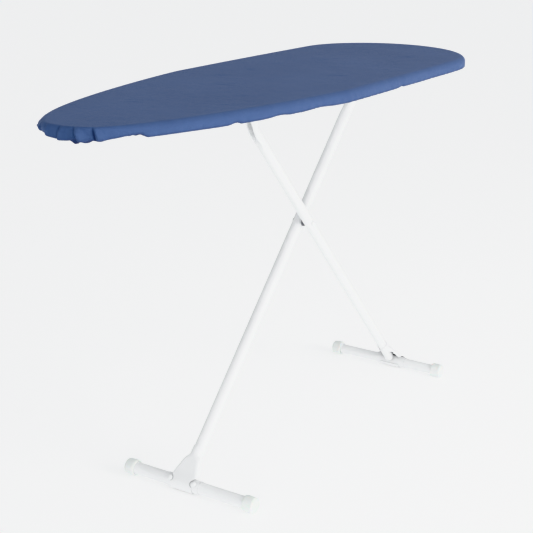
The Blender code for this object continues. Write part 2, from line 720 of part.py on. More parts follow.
def flared_section(half, face, depth):
    """A face with rounded corners and side flanges that turn back towards the leg."""
    return [(0, face), (0.35 * half, face), (0.62 * half, face), (half - 0.0060, face),
            (half - 0.0025, face - 0.0012), (half - 0.0006, face - 0.0035),
            (half, face - 0.0065), (half, face - (0.0065 + depth) / 2), (half, face - depth)]


def collar_section(radius):
    angles = [math.radians(158 * i / 8) for i in range(9)]
    return [(radius * math.sin(a), radius * math.cos(a)) for a in angles]


def mix_polar(first, second, share):
    """Blend two half sections by angle and radius, so that they never cut through the tube."""
    mixed = []
    for (a0, o0), (a1, o1) in zip(first, second):
        angle = math.atan2(a0, o0) * (1 - share) + math.atan2(a1, o1) * share
        radius = math.hypot(a0, o0) * (1 - share) + math.hypot(a1, o1) * share
        mixed.append((radius * math.sin(angle), radius * math.cos(angle)))
    return mixed


def saddle_row(leg, height, around, collar_r):
    """One row of the saddle above the foot's axis, as (up, across, out) for half its width."""
    face = around + (collar_r - around) * smooth_step(height, 0, 0.030)
    half = saddle_half_width(leg, height)
    grown = smooth_step(height, 0.012, 0.024)
    flat = flat_section(half, face)
    flared = flared_section(half, face, 0.0115)
    section = [(a0 + (a1 - a0) * grown, o0 + (o1 - o0) * grown)
               for (a0, o0), (a1, o1) in zip(flat, flared)]
    section = mix_polar(section, collar_section(collar_r), smooth_step(height, 0.052, 0.068))
    floor = math.sqrt(max(around ** 2 - height ** 2, 0))
    return [(height, a, max(o, floor) if height < around else o) for a, o in section]


def make_saddle(leg, group):
    """Pressed sheet that wraps the foot tube from below and closes round the leg above."""
    around = leg.foot_r + 2 * GAP + SLEEVE_T + SADDLE_T / 2 + 0.0002
    collar_r = leg.tube_r + GAP + SADDLE_T / 2 + 0.0001
    rows = []
    for degrees in range(-210, 0, 15):
        a = math.radians(degrees)
        half = saddle_half_width(leg, around * a)
        rows.append([(around * math.sin(a), share, around * math.cos(a))
                     for share, _ in flat_section(half, 0)])
    heights = (0, 0.004, 0.008, 0.012, 0.0145, 0.0172, 0.021, 0.026, 0.034, 0.042, 0.050, 0.056,
               0.061, 0.066, 0.070, 0.077, 0.085)
    rows += [saddle_row(leg, h, around, collar_r) for h in heights]

    bm = bmesh.new()
    grid = []
    for row in rows:
        whole = [(up, -a, out) for up, a, out in reversed(row[1:])] + row
        grid.append([bm.verts.new(leg.foot_point(up, a, out)) for up, a, out in whole])
    for low, high in zip(grid, grid[1:]):
        for i in range(len(low) - 1):
            bm.faces.new((low[i], low[i + 1], high[i + 1], high[i]))
    saddle = add(f"{leg.name}_foot_saddle", bm, LEG_PAINT, group)
    sheet = saddle.modifiers.new("sheet", "SOLIDIFY")
    sheet.thickness = SADDLE_T
    sheet.offset = 0


# ------------------------------------------------------------------ assembly

make_cover()
make_drawcord()
make_pad()
make_steel_top()
make_brace("cross_brace_nose", -0.515)
make_brace("cross_brace_middle", 0.150)
make_brace("cross_brace_heel", 0.560)
for side_name, side_sign in (("left", 1), ("right", -1)):
    make_rail("slide_rail_" + side_name, side_sign)
    make_rack("height_rack_" + side_name, side_sign)
make_hinge_bracket()
make_lever()
make_lever_spring()

make_cross_rod("hinge", FRONT, HINGE_X, CHEEK_OUT, BOARD)
make_cross_rod("slide", REAR, SLIDE_X, CHEEK_OUT + ROLLER_WIDTH + GAP, REAR_LEG)
mirrored_pair("slide_roller", roller_mesh(), REAR_LEG, SLIDE_X, CHEEK_OUT, PIN_Z)

for one_leg, one_group in ((FRONT, FRONT_LEG), (REAR, REAR_LEG)):
    make_leg_tube(one_leg, one_group)
    make_foot(one_leg, one_group)
    make_saddle(one_leg, one_group)
make_crossing()
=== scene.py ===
"""The looks of a free-standing ironing board: gathered cotton cover, felt pad, painted steel, plastic caps.

Metres, +Z up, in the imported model's frame. The nose points to -X and the heel to +X. A place on the edge of
the cover is its distance along the edge from the nose's tip: positive along the -Y side, negative along +Y.
"""
import json
import math

import bpy
import numpy as np
from mathutils import Matrix, Vector, noise

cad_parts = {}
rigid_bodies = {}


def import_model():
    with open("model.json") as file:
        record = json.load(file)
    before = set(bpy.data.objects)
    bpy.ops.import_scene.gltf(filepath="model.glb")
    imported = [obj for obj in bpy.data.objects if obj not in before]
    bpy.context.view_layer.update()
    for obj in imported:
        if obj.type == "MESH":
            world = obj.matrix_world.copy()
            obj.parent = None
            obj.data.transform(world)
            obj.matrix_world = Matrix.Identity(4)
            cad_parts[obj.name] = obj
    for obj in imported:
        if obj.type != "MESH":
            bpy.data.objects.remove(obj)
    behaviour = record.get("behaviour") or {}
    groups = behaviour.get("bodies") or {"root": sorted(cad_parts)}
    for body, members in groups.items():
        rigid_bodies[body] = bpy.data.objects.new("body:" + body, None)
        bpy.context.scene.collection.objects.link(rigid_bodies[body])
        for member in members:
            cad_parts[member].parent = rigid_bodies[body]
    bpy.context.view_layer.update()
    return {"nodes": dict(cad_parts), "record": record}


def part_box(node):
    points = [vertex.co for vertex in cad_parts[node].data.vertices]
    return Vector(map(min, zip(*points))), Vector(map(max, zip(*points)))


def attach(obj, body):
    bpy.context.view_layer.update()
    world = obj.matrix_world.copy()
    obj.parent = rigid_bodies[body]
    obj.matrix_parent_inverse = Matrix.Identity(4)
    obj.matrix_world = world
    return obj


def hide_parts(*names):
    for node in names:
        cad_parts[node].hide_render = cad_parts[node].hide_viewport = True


for old in list(bpy.data.objects):
    bpy.data.objects.remove(old, do_unlink=True)

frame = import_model()

# ------------------------------------------------------------------ sizes read from the frame

COVER_LOW, COVER_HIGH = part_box("fabric_cover")
PAD_LOW, PAD_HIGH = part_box("foam_pad")
CORD_LOW, CORD_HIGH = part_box("hem_drawcord")
LENGTH = COVER_HIGH.x - COVER_LOW.x
WIDTH = COVER_HIGH.y - COVER_LOW.y
TOP_Z = COVER_HIGH.z
HEM_Z = COVER_LOW.z
CORD_R = (CORD_HIGH.z - CORD_LOW.z) / 2
CORD_INSET = COVER_HIGH.y - CORD_HIGH.y + CORD_R
CORD_Z = (CORD_HIGH.z + CORD_LOW.z) / 2

# ------------------------------------------------------------------ sizes of the cover

# Outline
NOSE_RUN = 0.63
NOSE_EASE = 1.13
NOSE_BLUNT = 0.395
HEEL_RUN = 0.195
HEEL_TAPER = 0.08

# Mesh spacing along the edge: fine round the nose, where the pleats are
NOSE_SPACING = 0.0012
SIDE_SPACING = 0.0036
NOSE_REACH = (0.16, 0.34)
TOP_RINGS = 26
SPINE_SHARE = 0.8

# Section
NOSE_EDGE_R = 0.0045
SIDE_EDGE_R = 0.0130
LOW_R = 0.0040
CASING_R = 0.0027
HEM_DROP = 0.0005
HEM_UNEVEN = 0.0006
ROUND_ROWS = 7

# Slow swelling of the sides, and a fine and a coarse ripple along the edge
BILLOW = 0.0007
SIDE_RIPPLE = 0.00022
LOW_RIPPLE_FINE = 0.00020
LOW_RIPPLE_COARSE = 0.00030
FINE_LENGTH = 0.0105
COARSE_LENGTH = 0.027

# Gathers under the hem: their length, their least depth and what a tight bend adds
GATHER_LENGTH = 0.0135
GATHER_DEPTH = 0.0006
GATHER_AT_BEND = 0.0010
TIGHT_BEND = 12

# The cover swells a little at the tip of the nose
TIP_BULGE = 0.0018
TIP_PLACE = -0.065

# Pleats: (place at the top edge, place at the hem, groove's depth, ridge's height, side the ridge is on)
PLEATS = (
    (-0.172, -0.176, 0.0036, 0.0040, -1),
    (-0.128, -0.136, 0.0034, 0.0040, -1),
    (-0.088, -0.094, 0.0030, 0.0036, -1),
    (-0.052, -0.056, 0.0026, 0.0032, -1),
    (-0.027, -0.028, 0.0036, 0.0044, 1),
    (0.008, 0.002, 0.0066, 0.0068, 1),
    (0.034, 0.043, 0.0086, 0.0108, 1),
    (0.067, 0.075, 0.0060, 0.0058, 1),
)
RIDGE_RISE = 0.005
RIDGE_FALL = 0.024
GROOVE_HALF = 0.0034
GROOVE_DARK = 0.0060
GROOVE_LIMIT = 0.0009
FAN_AT_TOP = 0.35
PLEAT_LAP = 0.0008
LAP_RIDGE = 0.005
LAP_HALF = 0.0030

# Loops of cloth that hang between the pleats under the nose: (place, half their width, how low they hang)
LOBES = ((0.034, 0.010, 0.0095), (0.058, 0.009, 0.0052), (0.081, 0.005, 0.0018), (-0.110, 0.012, 0.0040))
LOBE_INSET = 0.010
LOBE_REACH = 0.006

# Where the cord pulls the hem up: (place, how far, eases in over, eases out over)
HEM_RISES = (
    (-0.060, 0.0072, 0.070, 0.064),
    (0.034, 0.0030, 0.016, 0.016),
    (0.060, 0.0022, 0.010, 0.012),
    (0.152, 0.0070, 0.085, 0.018),
    (0.372, 0.0032, 0.030, 0.012),
    (0.490, 0.0025, 0.050, 0.030),
    (0.610, 0.0018, 0.050, 0.050),
    (0.945, 0.0024, 0.030, 0.008),
    (-0.230, 0.0040, 0.040, 0.060),
    (-0.520, 0.0030, 0.030, 0.050),
    (-0.880, 0.0025, 0.060, 0.040),
    (-1.380, 0.0030, 0.050, 0.050),
)

# Creases on the top: (x, y, heading in degrees, half length, half width, height)
TOP_CREASES = (
    (0.058, 0.092, -110, 0.030, 0.0045, 0.0013),
    (-0.050, 0.103, -60, 0.022, 0.0040, 0.0011),
    (-0.238, -0.080, -58, 0.020, 0.0040, 0.0011),
    (0.102, -0.098, -55, 0.028, 0.0045, 0.0013),
    (0.455, -0.090, -52, 0.022, 0.0050, 0.0013),
    (0.300, 0.060, -70, 0.040, 0.0070, 0.0011),
    (-0.150, 0.030, -75, 0.035, 0.0060, 0.0010),
    (0.520, 0.070, -80, 0.045, 0.0080, 0.0013),
    (-0.420, 0.040, -65, 0.030, 0.0060, 0.0008),
    (0.210, -0.020, -20, 0.035, 0.0050, 0.0010),
)

# ------------------------------------------------------------------ painted shade

# Painted shade on cotton deep in a fold, and painted shade in the seams where painted pieces meet, each as a
# multiple of the plain colour
FOLD_SHADE = (0.26, 0.26, 0.38)
SEAM_SHADE = (0.34, 0.34, 0.35)
SEAM_REACH = 0.004

# ------------------------------------------------------------------ camera, floor and light

CAMERA_PLACE = Vector((-2.2931, -1.4726, 1.2813))
CAMERA_YAW = math.radians(57.126)
CAMERA_PITCH = math.radians(17.274)
CAMERA_ROLL = math.radians(0.667)
CAMERA_LENS = 85.17


def make_camera():
    data = bpy.data.cameras.new("camera")
    data.lens = CAMERA_LENS
    data.sensor_width = 36.0
    camera = bpy.data.objects.new("camera", data)
    ahead = Vector((math.sin(CAMERA_YAW) * math.cos(CAMERA_PITCH),
                    math.cos(CAMERA_YAW) * math.cos(CAMERA_PITCH), -math.sin(CAMERA_PITCH)))
    turn = ahead.to_track_quat("-Z", "Y").to_matrix() @ Matrix.Rotation(CAMERA_ROLL, 3, "Z")
    camera.matrix_world = Matrix.Translation(CAMERA_PLACE) @ turn.to_4x4()
    bpy.context.scene.collection.objects.link(camera)
    bpy.context.scene.camera = camera


def make_area_light(name, place, target, size, power, colour=(1, 1, 1), spread=math.pi):
    data = bpy.data.lights.new(name, "AREA")
    data.shape = "RECTANGLE"
    data.size, data.size_y = size
    data.energy = power
    data.color = colour
    data.spread = spread
    lamp = bpy.data.objects.new(name, data)
    aim = (Vector(target) - Vector(place)).to_track_quat("-Z", "Y")
    lamp.matrix_world = Matrix.Translation(place) @ aim.to_matrix().to_4x4()
    bpy.context.scene.collection.objects.link(lamp)


def make_sky(strongest_from, weakest, strongest):
    """Soft white light from all round, stronger from one side."""
    world = bpy.data.worlds.new("studio")
    bpy.context.scene.world = world
    world.use_nodes = True
    tree = world.node_tree
    background = tree.nodes["Background"]
    background.inputs["Color"].default_value = (0.98, 0.99, 1.0, 1)
    direction = tree.nodes.new("ShaderNodeTexCoord")
    facing = tree.nodes.new("ShaderNodeVectorMath")
    facing.operation = "DOT_PRODUCT"
    facing.inputs[1].default_value = Vector(strongest_from).normalized()
    strength = tree.nodes.new("ShaderNodeMapRange")
    strength.inputs["From Min"].default_value = -1
    strength.inputs["To Min"].default_value = weakest
    strength.inputs["To Max"].default_value = strongest
    tree.links.new(direction.outputs["Generated"], facing.inputs[0])
    tree.links.new(facing.outputs["Value"], strength.inputs["Value"])
    tree.links.new(strength.outputs["Result"], background.inputs["Strength"])


def make_studio():
    bpy.context.scene.view_settings.view_transform = "Khronos PBR Neutral"
    make_sky((0.70, -0.62, 0.25), 0.52, 0.90)

    bpy.ops.mesh.primitive_plane_add(size=40, location=(0, 0, 0))
    floor = bpy.context.object
    floor.name = "floor"
    mat = bpy.data.materials.new("pale_floor")
    mat.use_nodes = True
    shader = mat.node_tree.nodes["Principled BSDF"]
    shader.inputs["Base Color"].default_value = (0.93, 0.93, 0.93, 1)
    shader.inputs["Roughness"].default_value = 0.9
    shader.inputs["Emission Color"].default_value = (1, 1, 1, 1)
    shader.inputs["Emission Strength"].default_value = 0.32
    floor.data.materials.append(mat)
    make_area_light("key", (0.1, -3.6, 1.35), (0, 0, 0.6), (1.8, 1.4), 60, (1.0, 0.97, 0.94))
    make_area_light("foot_fill", (-2.9, -1.6, 0.45), (0.15, 0, -0.1), (1.2, 0.5), 2.0,
                    spread=math.radians(40))


# ------------------------------------------------------------------ materials

class Nodes:
    """A short way to write a procedural material."""

    def __init__(self, name, colour, roughness, metallic=0.0):
        self.mat = bpy.data.materials.new(name)
        self.mat.use_nodes = True
        self.tree = self.mat.node_tree
        self.shader = self.tree.nodes["Principled BSDF"]
        self.shader.inputs["Base Color"].default_value = (*colour, 1)
        self.shader.inputs["Roughness"].default_value = roughness
        self.shader.inputs["Metallic"].default_value = metallic

    def add(self, kind, **values):
        node = self.tree.nodes.new(kind)
        for key, value in values.items():
            if hasattr(node, key):
                setattr(node, key, value)
            else:
                node.inputs[key].default_value = value
        return node

    def link(self, source, target):
        self.tree.links.new(source, target)

    def place(self):
        """Object coordinates, in metres."""
        return self.add("ShaderNodeTexCoord").outputs["Object"]

    def noise(self, place, scale, detail=3.0, roughness=0.5):
        node = self.add("ShaderNodeTexNoise", Scale=scale, Detail=detail, Roughness=roughness)
        self.link(place, node.inputs["Vector"])
        return node.outputs["Fac"]

    def ramp(self, fac, stops):
        node = self.add("ShaderNodeValToRGB")
        elements = node.color_ramp.elements
        while len(elements) < len(stops):
            elements.new(0.5)
        for element, (where, colour) in zip(elements, stops):
            element.position = where
            element.color = (*colour, 1)
        self.link(fac, node.inputs["Fac"])
        return node.outputs["Color"]

    def math(self, operation, first, second=0.0):
        node = self.add("ShaderNodeMath", operation=operation)
        for socket, value in zip(node.inputs, (first, second)):
            if isinstance(value, (int, float)):
                socket.default_value = value
            else:
                self.link(value, socket)
        return node.outputs[0]

    def spread(self, fac, low, high):
        """A factor from 0 to 1 turned into a value from low to high."""
        node = self.add("ShaderNodeMapRange")
        self.link(fac, node.inputs["Value"])
        node.inputs["To Min"].default_value = low
        node.inputs["To Max"].default_value = high
        return node.outputs["Result"]

    def multiply(self, first, second):
        """Two colours multiplied together."""
        node = self.add("ShaderNodeVectorMath", operation="MULTIPLY")
        self.link(first, node.inputs[0])
        self.link(second, node.inputs[1])
        return node.outputs["Vector"]

    def bump(self, height, distance, strength=1.0, under=None):
        node = self.add("ShaderNodeBump", Distance=distance, Strength=strength)
        self.link(height, node.inputs["Height"])
        if under is not None:
            self.link(under, node.inputs["Normal"])
        return node.outputs["Normal"]


def cotton_material():
    """Plain weave cotton: threads, slubs, slight changes of tone, the fine creases of a stretched cover, and
    painted shade deep in its folds and under the hem.
    """
    n = Nodes("blue_cotton", (0.070, 0.120, 0.265), 0.86)
    cut = n.add("ShaderNodeUVMap", uv_map="cut").outputs["UV"]
    threads = []
    for direction in ("X", "Y"):
        wave = n.add("ShaderNodeTexWave", bands_direction=direction, Scale=420.0, Distortion=0.8)
        wave.inputs["Detail"].default_value = 1.0
        n.link(cut, wave.inputs["Vector"])
        threads.append(wave.outputs["Fac"])
    weave = n.math("MULTIPLY", threads[0], threads[1])
    slubs = n.noise(cut, 160.0, 2.0)
    shade = n.noise(cut, 5.0, 4.0)
    mixed = n.math("ADD", n.math("MULTIPLY", shade, 0.75), n.math("MULTIPLY", slubs, 0.25))
    colour = n.ramp(mixed, [(0.30, (0.065, 0.112, 0.250)), (0.70, (0.075, 0.128, 0.280))])
    # Painted shade: the cotton is darkened in the pleats' grooves, towards the hem and all under the board
    fold_shading = n.add("ShaderNodeAttribute", attribute_name="fold_shading").outputs["Fac"]
    depth = n.ramp(fold_shading, [(0.0, (1, 1, 1)), (1.0, FOLD_SHADE)])
    n.link(n.multiply(colour, depth), n.shader.inputs["Base Color"])
    n.link(n.spread(slubs, 0.80, 0.94), n.shader.inputs["Roughness"])
    creases = n.noise(n.place(), 26.0, 5.0, 0.6)
    soft = n.bump(creases, 0.0040, 0.60)
    n.link(n.bump(weave, 0.00018, 0.5, soft), n.shader.inputs["Normal"])
    n.shader.inputs["Sheen Weight"].default_value = 0.08
    n.shader.inputs["Sheen Roughness"].default_value = 0.45
    n.shader.inputs["Sheen Tint"].default_value = (0.80, 0.88, 1.0, 1)
    n.shader.inputs["Specular IOR Level"].default_value = 0.45
    return n.mat


def paint_material(name, colour, roughness, coat):
    """White paint: orange peel, faint dulling, and painted shade in the seams where two pieces meet."""
    n = Nodes(name, colour, roughness)
    place = n.place()
    peel = n.noise(place, 420.0, 2.0)
    worn = n.noise(place, 9.0, 4.0)
    dull = tuple(0.955 * c for c in colour)
    clean = n.ramp(worn, [(0.35, dull), (0.65, colour)])
    # Painted shade: ambient occlusion darkens the paint wherever another surface is close by
    seam = n.add("ShaderNodeAmbientOcclusion", samples=8, Distance=SEAM_REACH)
    seam_shading = n.ramp(seam.outputs["AO"], [(0.25, SEAM_SHADE), (0.62, (1, 1, 1))])
    n.link(n.multiply(clean, seam_shading), n.shader.inputs["Base Color"])
    n.link(n.spread(worn, roughness - 0.05, roughness + 0.08), n.shader.inputs["Roughness"])
    n.link(n.bump(peel, 0.00006, 0.35), n.shader.inputs["Normal"])
    n.shader.inputs["Coat Weight"].default_value = coat
    n.shader.inputs["Coat Roughness"].default_value = 0.12
    return n.mat


def zinc_material():
    """Bright zinc plate with a fine grain and cloudy patches."""
    n = Nodes("zinc_plate", (0.62, 0.63, 0.64), 0.34, 1.0)
    place = n.place()
    cloud = n.noise(place, 60.0, 3.0)
    grain = n.noise(place, 900.0, 2.0)
    n.link(n.ramp(cloud, [(0.3, (0.55, 0.56, 0.58)), (0.7, (0.68, 0.69, 0.70))]),
           n.shader.inputs["Base Color"])
    n.link(n.spread(cloud, 0.26, 0.44), n.shader.inputs["Roughness"])
    n.link(n.bump(grain, 0.00004, 0.3), n.shader.inputs["Normal"])
    return n.mat


def plastic_material(name, colour, roughness, cloudy=0.0):
    """Moulded plastic with a fine texture; cloudy lets a little light in."""
    n = Nodes(name, colour, roughness)
    place = n.place()
    cloud = n.noise(place, 45.0, 2.0)
    grain = n.noise(place, 1400.0, 2.0)
    low = tuple(0.96 * c for c in colour)
    n.link(n.ramp(cloud, [(0.35, low), (0.65, colour)]), n.shader.inputs["Base Color"])
    n.link(n.spread(cloud, roughness - 0.04, roughness + 0.06), n.shader.inputs["Roughness"])
    n.link(n.bump(grain, 0.00003, 0.3), n.shader.inputs["Normal"])
    if cloudy:
        n.shader.inputs["Subsurface Weight"].default_value = cloudy
        n.shader.inputs["Subsurface Scale"].default_value = 0.004
    return n.mat


def felt_material():
    """Pressed felt: matted fibres in light and dark grey."""
    n = Nodes("grey_felt", (0.52, 0.52, 0.50), 0.95)
    place = n.place()
    fibres = n.noise(place, 700.0, 5.0, 0.7)
    n.link(n.ramp(fibres, [(0.35, (0.40, 0.40, 0.39)), (0.65, (0.62, 0.62, 0.60))]),
           n.shader.inputs["Base Color"])
    n.link(n.bump(fibres, 0.0005, 0.6), n.shader.inputs["Normal"])
    n.shader.inputs["Sheen Weight"].default_value = 0.3
    return n.mat


def cord_material():
    """Braided cotton cord."""
    n = Nodes("white_cord", (0.75, 0.75, 0.72), 0.9)
    braid = n.add("ShaderNodeTexWave", Scale=260.0, Distortion=1.5)
    n.link(n.place(), braid.inputs["Vector"])
    n.link(n.ramp(braid.outputs["Fac"], [(0.3, (0.62, 0.62, 0.59)), (0.7, (0.80, 0.80, 0.77))]),
           n.shader.inputs["Base Color"])
    n.link(n.bump(braid.outputs["Fac"], 0.0003, 0.6), n.shader.inputs["Normal"])
    return n.mat


MATERIALS = {
    "blue_cotton": cotton_material(),
    "white_cord": cord_material(),
    "grey_felt": felt_material(),
    "board_paint": paint_material("board_paint", (0.80, 0.81, 0.82), 0.42, 0.1),
    "leg_paint": paint_material("leg_paint", (0.82, 0.83, 0.835), 0.34, 0.15),
    "zinc_plate": zinc_material(),
    "white_plastic": plastic_material("white_plastic", (0.75, 0.76, 0.75), 0.45),
    "cap_plastic": plastic_material("cap_plastic", (0.76, 0.79, 0.775), 0.32, 0.10),
    "grey_plastic": plastic_material("grey_plastic", (0.25, 0.26, 0.28), 0.45),
}


def paint_cad_nodes():
    for part in frame["record"]["subparts"]:
        node = frame["nodes"][part["node"]]
        node.data.materials.clear()
        node.data.materials.append(MATERIALS[part["material_slot"]])


# ------------------------------------------------------------------ board outline

def smooth_step(value, start, end):
    t = np.clip((value - start) / (end - start), 0, 1)
    return t * t * (3 - 2 * t)


def half_width(x):
    """Half the covered board's width: a blunt bullet nose, sides that taper to a rounded heel."""
    run = np.clip(x + LENGTH / 2, 0, LENGTH)
    nose = 1 - (1 - np.minimum(run / NOSE_RUN, 1)) ** NOSE_EASE
    heel = np.clip((run - (LENGTH - HEEL_RUN)) / HEEL_RUN, 0, 1)
    taper = 1 - HEEL_TAPER * np.clip(x / (LENGTH / 2), 0, 1) ** 2
    return WIDTH / 2 * nose ** NOSE_BLUNT * np.sqrt(1 - heel ** 2) * taper


class Edge:
    """The board's edge at a row of stations, anticlockwise from the middle of the heel by way of the nose."""

    def __init__(self, near_spacing, far_spacing):
        t = np.linspace(0, 2 * math.pi, 12001)
        x = -LENGTH / 2 * np.cos(t)
        y = half_width(x) * np.where(t < math.pi, -1, 1)
        run = np.concatenate([[0], np.cumsum(np.hypot(np.diff(x), np.diff(y)))])
        self.perimeter = run[-1]
        self.place = self.stations(near_spacing, far_spacing)
        wanted = self.place % self.perimeter
        self.points = np.column_stack([np.interp(wanted, run, x), np.interp(wanted, run, y)])
        ahead = np.roll(self.points, -1, axis=0) - np.roll(self.points, 1, axis=0)
        self.ahead = ahead / np.linalg.norm(ahead, axis=1)[:, None]
        self.inward = np.column_stack([-self.ahead[:, 1], self.ahead[:, 0]])
        turn = np.roll(self.inward, -1, axis=0) - np.roll(self.inward, 1, axis=0)
        self.curve = np.linalg.norm(turn, axis=1) / np.linalg.norm(ahead, axis=1)

    def stations(self, near_spacing, far_spacing):
        fine = np.linspace(-self.perimeter / 2, self.perimeter / 2, 20001)
        spacing = near_spacing + (far_spacing - near_spacing) * smooth_step(np.abs(fine), *NOSE_REACH)
        pace = np.diff(fine) * (1 / spacing[1:] + 1 / spacing[:-1]) / 2
        count = np.concatenate([[0], np.cumsum(pace)])
        steps = 2 * int(count[-1] / 2)
        return np.interp(np.arange(steps) * count[-1] / steps, count, fine)

    def noise(self, spacing, seed):
        """Values from -1 to 1 that change smoothly round the edge, about one swing for each spacing."""
        count = max(int(round(self.perimeter / spacing)), 3)
        knots = np.random.default_rng(seed).uniform(-1, 1, count)
        place = (self.place / self.perimeter) % 1 * count
        low = np.floor(place).astype(int)
        t = place - low
        t = t * t * (3 - 2 * t)
        return knots[low % count] * (1 - t) + knots[(low + 1) % count] * t

    def ripple(self, length, seed):
        """Uneven ripples from -1 to 1, each about one length long."""
        wander = 2.2 * self.noise(4 * length, seed)
        height = 0.65 + 0.35 * self.noise(2.5 * length, seed + 1)
        return height * np.sin(2 * math.pi * self.place / length + wander)


# ------------------------------------------------------------------ meshes through rings

def ring_mesh(name, rings, material, closed_below=False):
    """A mesh through rings round the edge, whose first ring is folded shut along the board's spine.

    closed_below folds the last ring shut too. Gives the mesh and which of the rings' points it uses.
    """
    steps = len(rings[0])
    index = np.arange(len(rings) * steps).reshape(len(rings), steps)
    fold = np.array([min(i, steps - i) for i in range(steps)])
    index[0] = fold
    if closed_below:
        index[-1] = index[-1][0] + fold
    faces = []
    for low, high in zip(index, index[1:]):
        for i in range(steps):
            j = (i + 1) % steps
            faces.append((int(low[i]), int(high[i]), int(high[j]), int(low[j])))
    used = np.unique(np.array(faces))
    renumber = np.full(len(rings) * steps, -1)
    renumber[used] = np.arange(len(used))
    faces = [tuple(int(renumber[v]) for v in face) for face in faces]
    mesh = bpy.data.meshes.new(name)
    mesh.from_pydata(np.vstack(rings)[used].tolist(), [], faces)
    mesh.shade_smooth()
    mesh.materials.append(MATERIALS[material])
    return mesh, used


def add_object(mesh):
    obj = bpy.data.objects.new(mesh.name, mesh)
    bpy.context.scene.collection.objects.link(obj)
    return obj


# ------------------------------------------------------------------ fabric cover

def edge_radius(edge):
    """The top edge is crisp round the nose and softer along the sides."""
    soft = np.maximum(smooth_step(edge.place, 0.07, 0.22), smooth_step(-edge.place, 0.01, 0.10))
    return NOSE_EDGE_R + (SIDE_EDGE_R - NOSE_EDGE_R) * soft


def hem_height(edge):
    rise = HEM_UNEVEN * edge.noise(0.12, 11)
    for place, height, ease_in, ease_out in HEM_RISES:
        before = smooth_step(edge.place, place - ease_in, place)
        after = 1 - smooth_step(edge.place, place, place + ease_out)
        rise = rise + height * before * after
    return HEM_Z - HEM_DROP + rise


def cover_section(edge):
    """Rows of (inset, z, outward, upward, share), from the top edge round the side to the cord's casing.

    share runs from 0 at the top edge to 1 at the bottom of the side, and on to 2 where the casing starts.
    """
    radius = edge_radius(edge)
    hem = hem_height(edge)
    ones = np.ones_like(radius)
    rows = []
    side_rows, low_rows, under_rows, casing_rows = 12, 5, 12, 14
    side_share, low_share = 0.25, 0.85
    for i in range(1, ROUND_ROWS + 1):
        a = math.radians(90 - 90 * i / ROUND_ROWS)
        rows.append((radius * (1 - math.cos(a)), TOP_Z - radius * (1 - math.sin(a)),
                     math.cos(a), math.sin(a), side_share * i / ROUND_ROWS))
    for i in range(1, side_rows):
        t = i / side_rows
        high, low = TOP_Z - radius, hem + LOW_R
        rows.append((0 * ones, high + (low - high) * t, 1, 0, side_share + (low_share - side_share) * t))
    for i in range(low_rows + 1):
        a = math.radians(90 * i / low_rows)
        rows.append((LOW_R * (1 - math.cos(a)) * ones, hem + LOW_R * (1 - math.sin(a)),
                     math.cos(a), -math.sin(a), low_share + (1 - low_share) * i / low_rows))
    casing_low = CORD_Z - CASING_R
    for i in range(1, under_rows + 1):
        t = i / under_rows
        lobe_z = hem + (casing_low - hem) * smooth_step(np.array(t), 0.15, 1.0)
        rows.append(((LOW_R + (CORD_INSET - LOW_R) * t) * ones, lobe_z, 0, -1, 1 + t))
    for i in range(1, casing_rows + 1):
        a = math.radians(-90 + 300 * i / casing_rows)
        rows.append(((CORD_INSET + CASING_R * math.cos(a)) * ones, CORD_Z + CASING_R * math.sin(a) * ones,
                     -math.cos(a), math.sin(a), 2 + i / casing_rows))
    return rows


def pleats_at(edge, share):
    """How far the pleats move one row out and along the edge, and how deep in a fold it is, 0 to 1."""
    grown = float(smooth_step(share, 0.0, 0.50)) * (1 - float(smooth_step(share, 1.05, 1.8)))
    fan = FAN_AT_TOP + (1 - FAN_AT_TOP) * min(share, 1)
    out = np.zeros_like(edge.place)
    along = np.zeros_like(edge.place)
    hidden = np.zeros_like(edge.place)
    for top_place, hem_place, groove, ridge, side in PLEATS:
        centre = top_place + (hem_place - top_place) * min(share, 1)
        t = (edge.place - centre) * side
        crest = smooth_step(t, -RIDGE_RISE, 0) * (1 - smooth_step(t, 0, RIDGE_FALL * fan))
        half = GROOVE_HALF * fan
        slit = np.exp(-((t + 1.1 * half) / half) ** 2)
        out += grown * (ridge * crest - groove * slit)
        lap = np.exp(-(t / LAP_HALF) ** 2)
        along -= side * grown * PLEAT_LAP * lap * ridge / LAP_RIDGE
        # How deep in a groove the cloth is, which sets the painted shade in the folds
        hidden = np.maximum(hidden, slit * grown * min(groove / GROOVE_DARK, 1))
    return np.maximum(out, -GROOVE_LIMIT), along, hidden


def lobes_at(edge, inset):
    """How far the loops between the pleats hang down at one inset under the board."""
    drop = np.zeros_like(edge.place)
    if inset > LOBE_INSET + 2 * LOBE_REACH:
        return drop
    for place, half, depth in LOBES:
        across = np.clip(1 - ((edge.place - place) / half) ** 2, 0, 1) ** 0.7
        drop += depth * across * math.exp(-((inset - LOBE_INSET) / LOBE_REACH) ** 2)
    return drop


